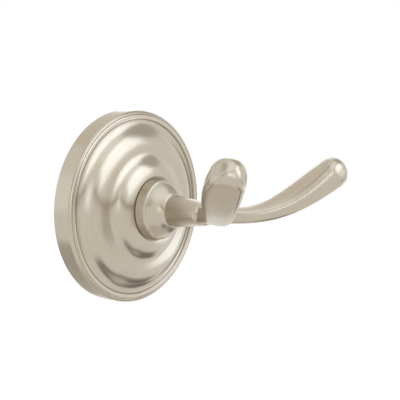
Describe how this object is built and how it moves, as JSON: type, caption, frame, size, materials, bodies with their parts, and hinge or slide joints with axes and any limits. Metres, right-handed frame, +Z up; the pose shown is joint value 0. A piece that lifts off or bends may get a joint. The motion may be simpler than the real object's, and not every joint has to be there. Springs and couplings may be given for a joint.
{
  "type": "robe hook",
  "caption": "Wall-mounted robe hook: a round stepped escutcheon carries a short tapered post that forks into upswept prongs with rounded paddle ends.",
  "frame": {"origin": "centre of the escutcheon's back on the wall, midway between the bracket's two screw holes", "axes": "+Z up, +Y into the wall, the hook stands out along -Y; the wall is the plane y = 0"},
  "size_m": [0.0734, 0.074, 0.0698],
  "materials": {
    "satin_nickel": "satin nickel plate over cast zinc, softly polished",
    "plated_steel": "bright zinc plate over steel"
  },
  "bodies": {
    "root": {"escutcheon": "satin_nickel", "hook_post": "satin_nickel", "post_screw": "plated_steel", "lock_washer": "plated_steel", "wall_bracket": "plated_steel", "set_screw": "plated_steel"}
  },
  "joints": []
}
